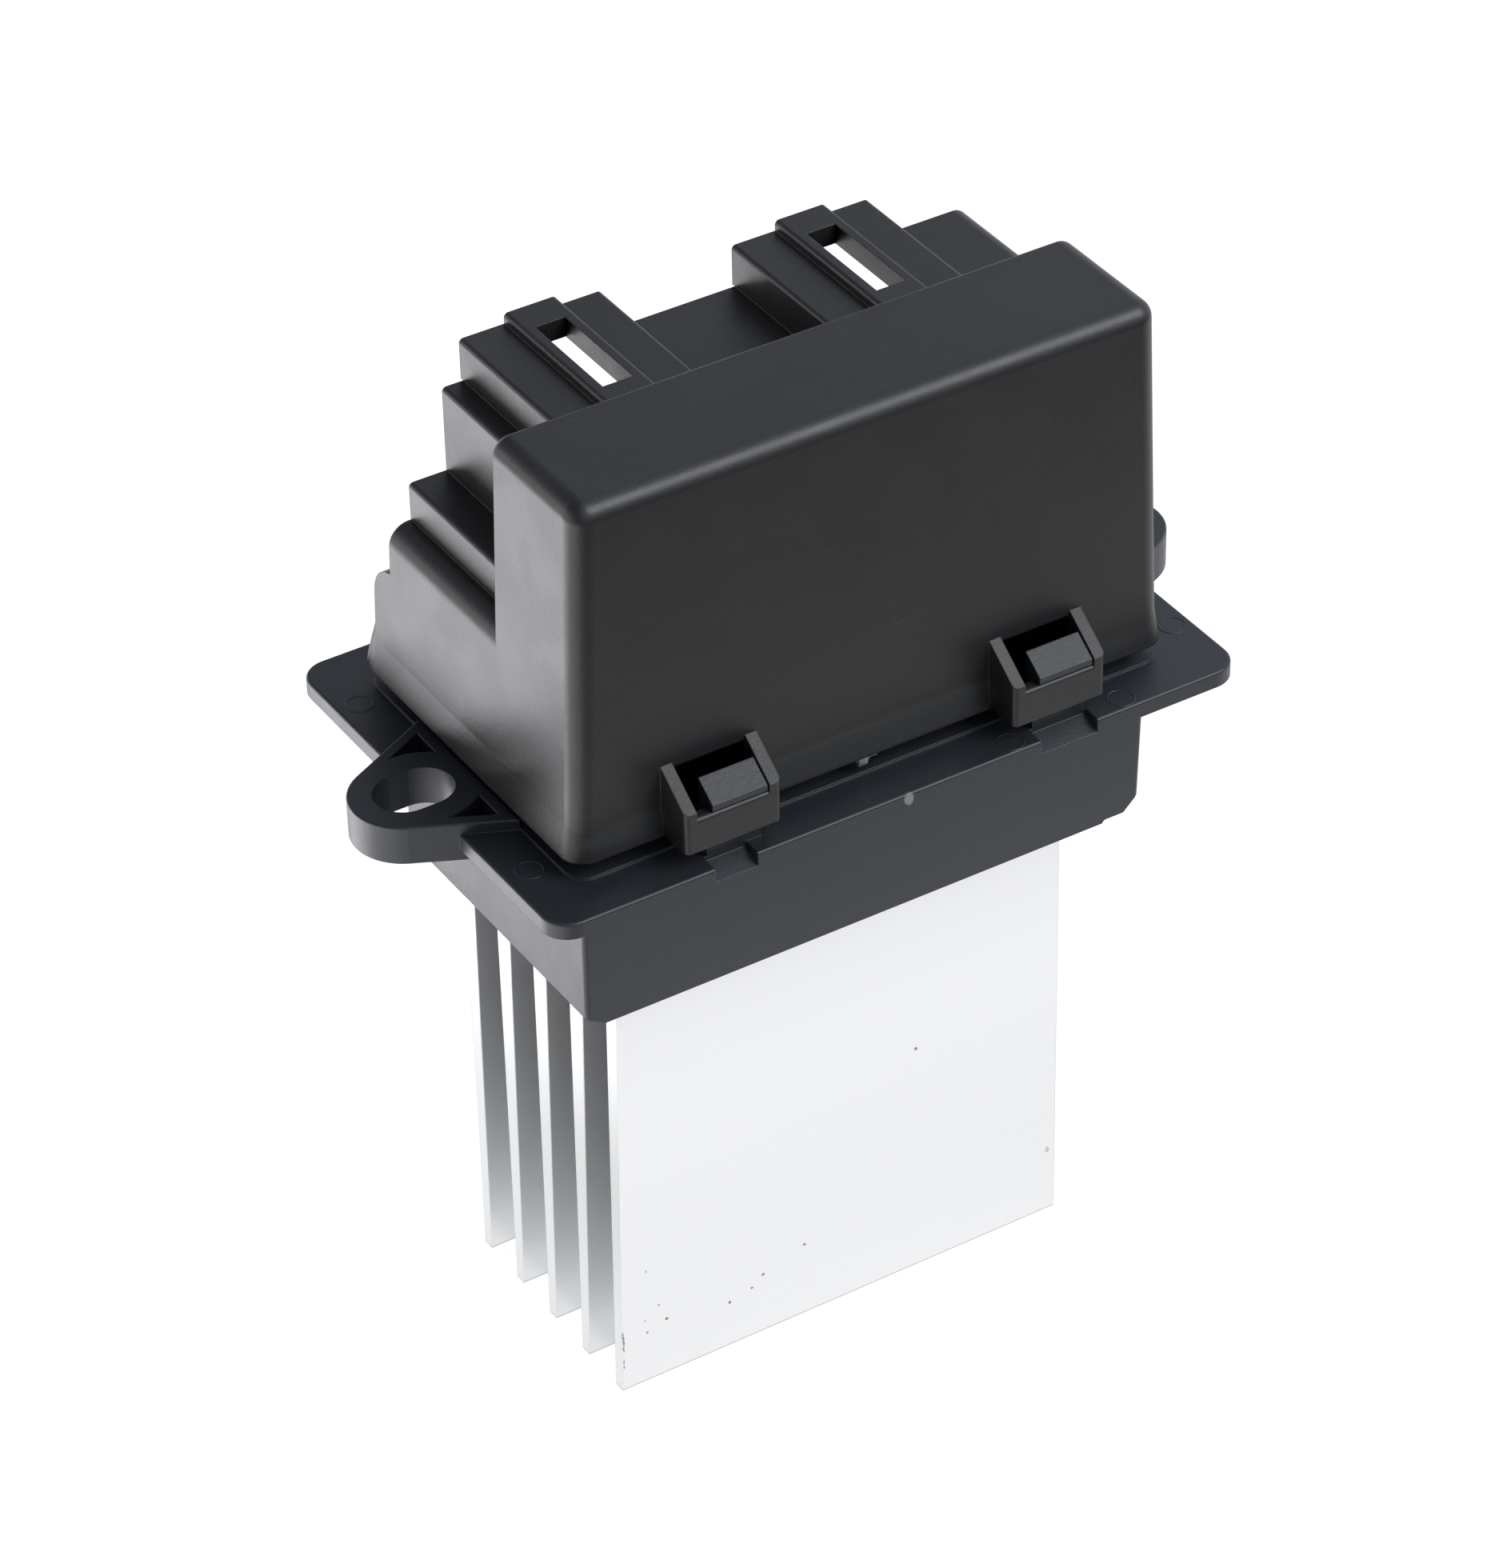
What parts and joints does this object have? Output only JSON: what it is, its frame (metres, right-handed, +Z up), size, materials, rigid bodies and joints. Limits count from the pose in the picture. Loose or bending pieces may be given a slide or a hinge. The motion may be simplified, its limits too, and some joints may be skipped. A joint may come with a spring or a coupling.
{
  "type": "blower motor resistor",
  "caption": "Blower speed module: flanged plastic frame with slotted ears, finned aluminium heat sink below, and a clipped black cover with connector sockets above.",
  "frame": {"origin": "below the middle of the mounting flange, at the level of the fin tips", "axes": "+X along the row of ears, +Y to the back where the connector sockets open, +Z up from the fins to the cover"},
  "size_m": [0.0988, 0.0536, 0.1096],
  "materials": {
    "cover": "black moulded plastic, satin, with fine scuffs",
    "frame": "black moulded plastic, satin",
    "sink": "extruded aluminium, unpainted",
    "screw_steel": "zinc-plated steel",
    "board": "glass-fibre board with green solder mask",
    "moulding_compound": "black moulding compound",
    "pad": "grey silicone pad",
    "spring_steel": "spring steel strip",
    "blade": "tin-plated brass",
    "strip": "natural-coloured moulded plastic",
    "can": "sleeved aluminium can",
    "shunt": "resistance-alloy strip",
    "fuse": "white ceramic body",
    "capacitor_ceramic": "fired ceramic",
    "resistor_ceramic": "glazed film on ceramic"
  },
  "bodies": {
    "root": {"cover": "cover", "base_frame": "frame", "heat_sink": "sink", "heat_sink_screws": "screw_steel", "circuit_board": "board", "power_transistor_left": "moulding_compound", "power_transistor_right": "moulding_compound", "insulating_pad_left": "pad", "insulating_pad_right": "pad", "transistor_clip_left": "spring_steel", "transistor_clip_right": "spring_steel", "motor_blade_left": "blade", "motor_blade_right": "blade", "supply_blade_left": "blade", "signal_blade": "blade", "supply_blade_right": "blade", "contact_strip_motor": "strip", "contact_strip_supply": "strip", "electrolytic_capacitor": "can", "control_chip": "moulding_compound", "current_shunt": "shunt", "thermal_fuse": "fuse", "ceramic_capacitor_1": "capacitor_ceramic", "ceramic_capacitor_2": "capacitor_ceramic", "chip_resistor_1": "resistor_ceramic", "chip_resistor_2": "resistor_ceramic"}
  },
  "joints": []
}
